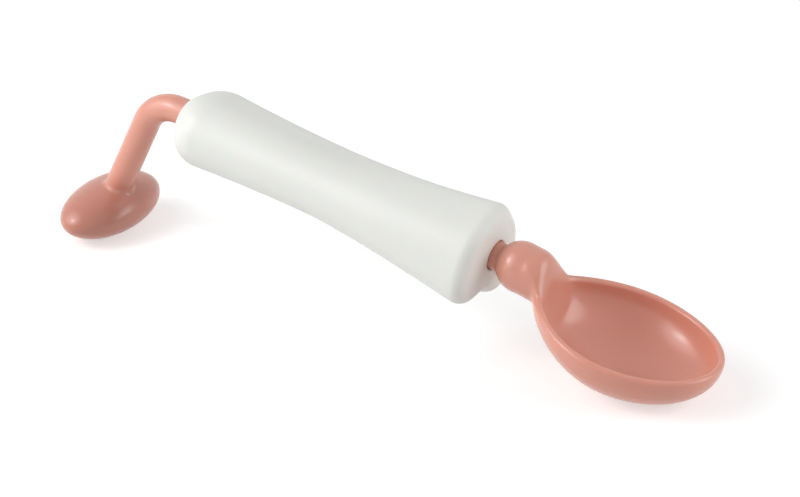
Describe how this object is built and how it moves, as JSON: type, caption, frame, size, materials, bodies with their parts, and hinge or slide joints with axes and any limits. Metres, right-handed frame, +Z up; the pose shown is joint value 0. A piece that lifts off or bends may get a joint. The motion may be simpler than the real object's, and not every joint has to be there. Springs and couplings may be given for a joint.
{
  "type": "self-levelling training spoon",
  "caption": "Toddler's spoon whose bowl stays level: bowl, cranked rod and oval counterweight turn as one through a flared white handle.",
  "frame": {"origin": "middle of the bounding box at the level of the surface that the spoon rests on", "axes": "+X towards the tip of the bowl, +Z up, +Y to the left when facing the tip; stored as it rests on a table, nose down"},
  "size_m": [0.1898, 0.0396, 0.0467],
  "materials": {
    "coral_plastic": "smooth, softly glossy",
    "white_plastic": "satin, soft to the touch",
    "liner_plastic": "as moulded",
    "steel": "drawn bar"
  },
  "bodies": {
    "spoon": {"bowl": "coral_plastic", "core_rod": "steel", "crank_arm": "coral_plastic", "bob_shell": "coral_plastic", "weight_slug": "steel", "bob_plug": "coral_plastic"},
    "handle": {"grip": "white_plastic", "handle_core": "liner_plastic", "front_bush": "liner_plastic", "rear_bush": "liner_plastic"}
  },
  "joints": [
    {"name": "handle_turn", "type": "hinge", "parent": "spoon", "child": "handle", "pos_m": [0.0322, 0, 0.02445], "axis": [0.9876, 0, -0.1568], "continuous": true}
  ]
}
